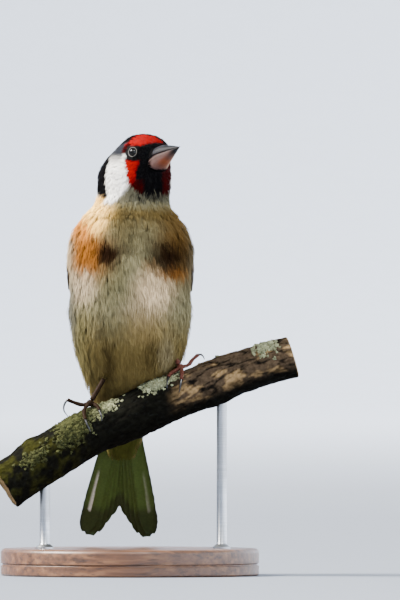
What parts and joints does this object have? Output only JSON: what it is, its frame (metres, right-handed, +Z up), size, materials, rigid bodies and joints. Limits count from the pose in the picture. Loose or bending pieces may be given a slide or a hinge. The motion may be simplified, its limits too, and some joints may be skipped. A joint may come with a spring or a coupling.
{
  "type": "perched songbird display model",
  "caption": "Life-size still model of a small finch gripping a short cut branch, held above a round base by two rods.",
  "frame": {"origin": "centre of the underside of the round base", "axes": "+Z up; the bird faces -Y, with its head turned to its left, and its left side is towards +X"},
  "size_m": [0.0906, 0.076, 0.1297],
  "materials": {
    "head_feathers": "soft matt feathers, red, black and white",
    "body_feathers": "soft matt feathers, buff, tawny and whitish",
    "flight_feathers": "smooth feathers, black with yellow and white marks",
    "eye": "glossy",
    "bill": "horn with a dull sheen, dark at the tip",
    "leg": "fine scales with a dull sheen",
    "claw": "smooth horn",
    "bark": "rough bark with patches of lichen",
    "rod": "brushed",
    "base": "oiled, satin"
  },
  "bodies": {
    "root": {"head": "head_feathers", "bill_upper": "bill", "bill_lower": "bill", "eye_left": "eye", "eye_right": "eye", "neck": "body_feathers", "breast": "body_feathers", "belly": "body_feathers", "rump": "body_feathers", "tail": "flight_feathers", "wing_left": "flight_feathers", "wing_right": "flight_feathers", "thigh_left": "body_feathers", "thigh_right": "body_feathers", "shank_left": "leg", "shank_right": "leg", "foot_left": "leg", "foot_right": "leg", "claw_outer_left": "claw", "claw_middle_left": "claw", "claw_inner_left": "claw", "claw_hind_left": "claw", "claw_outer_right": "claw", "claw_middle_right": "claw", "claw_inner_right": "claw", "claw_hind_right": "claw", "perch_branch": "bark", "stand_rod_left": "rod", "stand_rod_right": "rod", "stand_base": "base"}
  },
  "joints": []
}
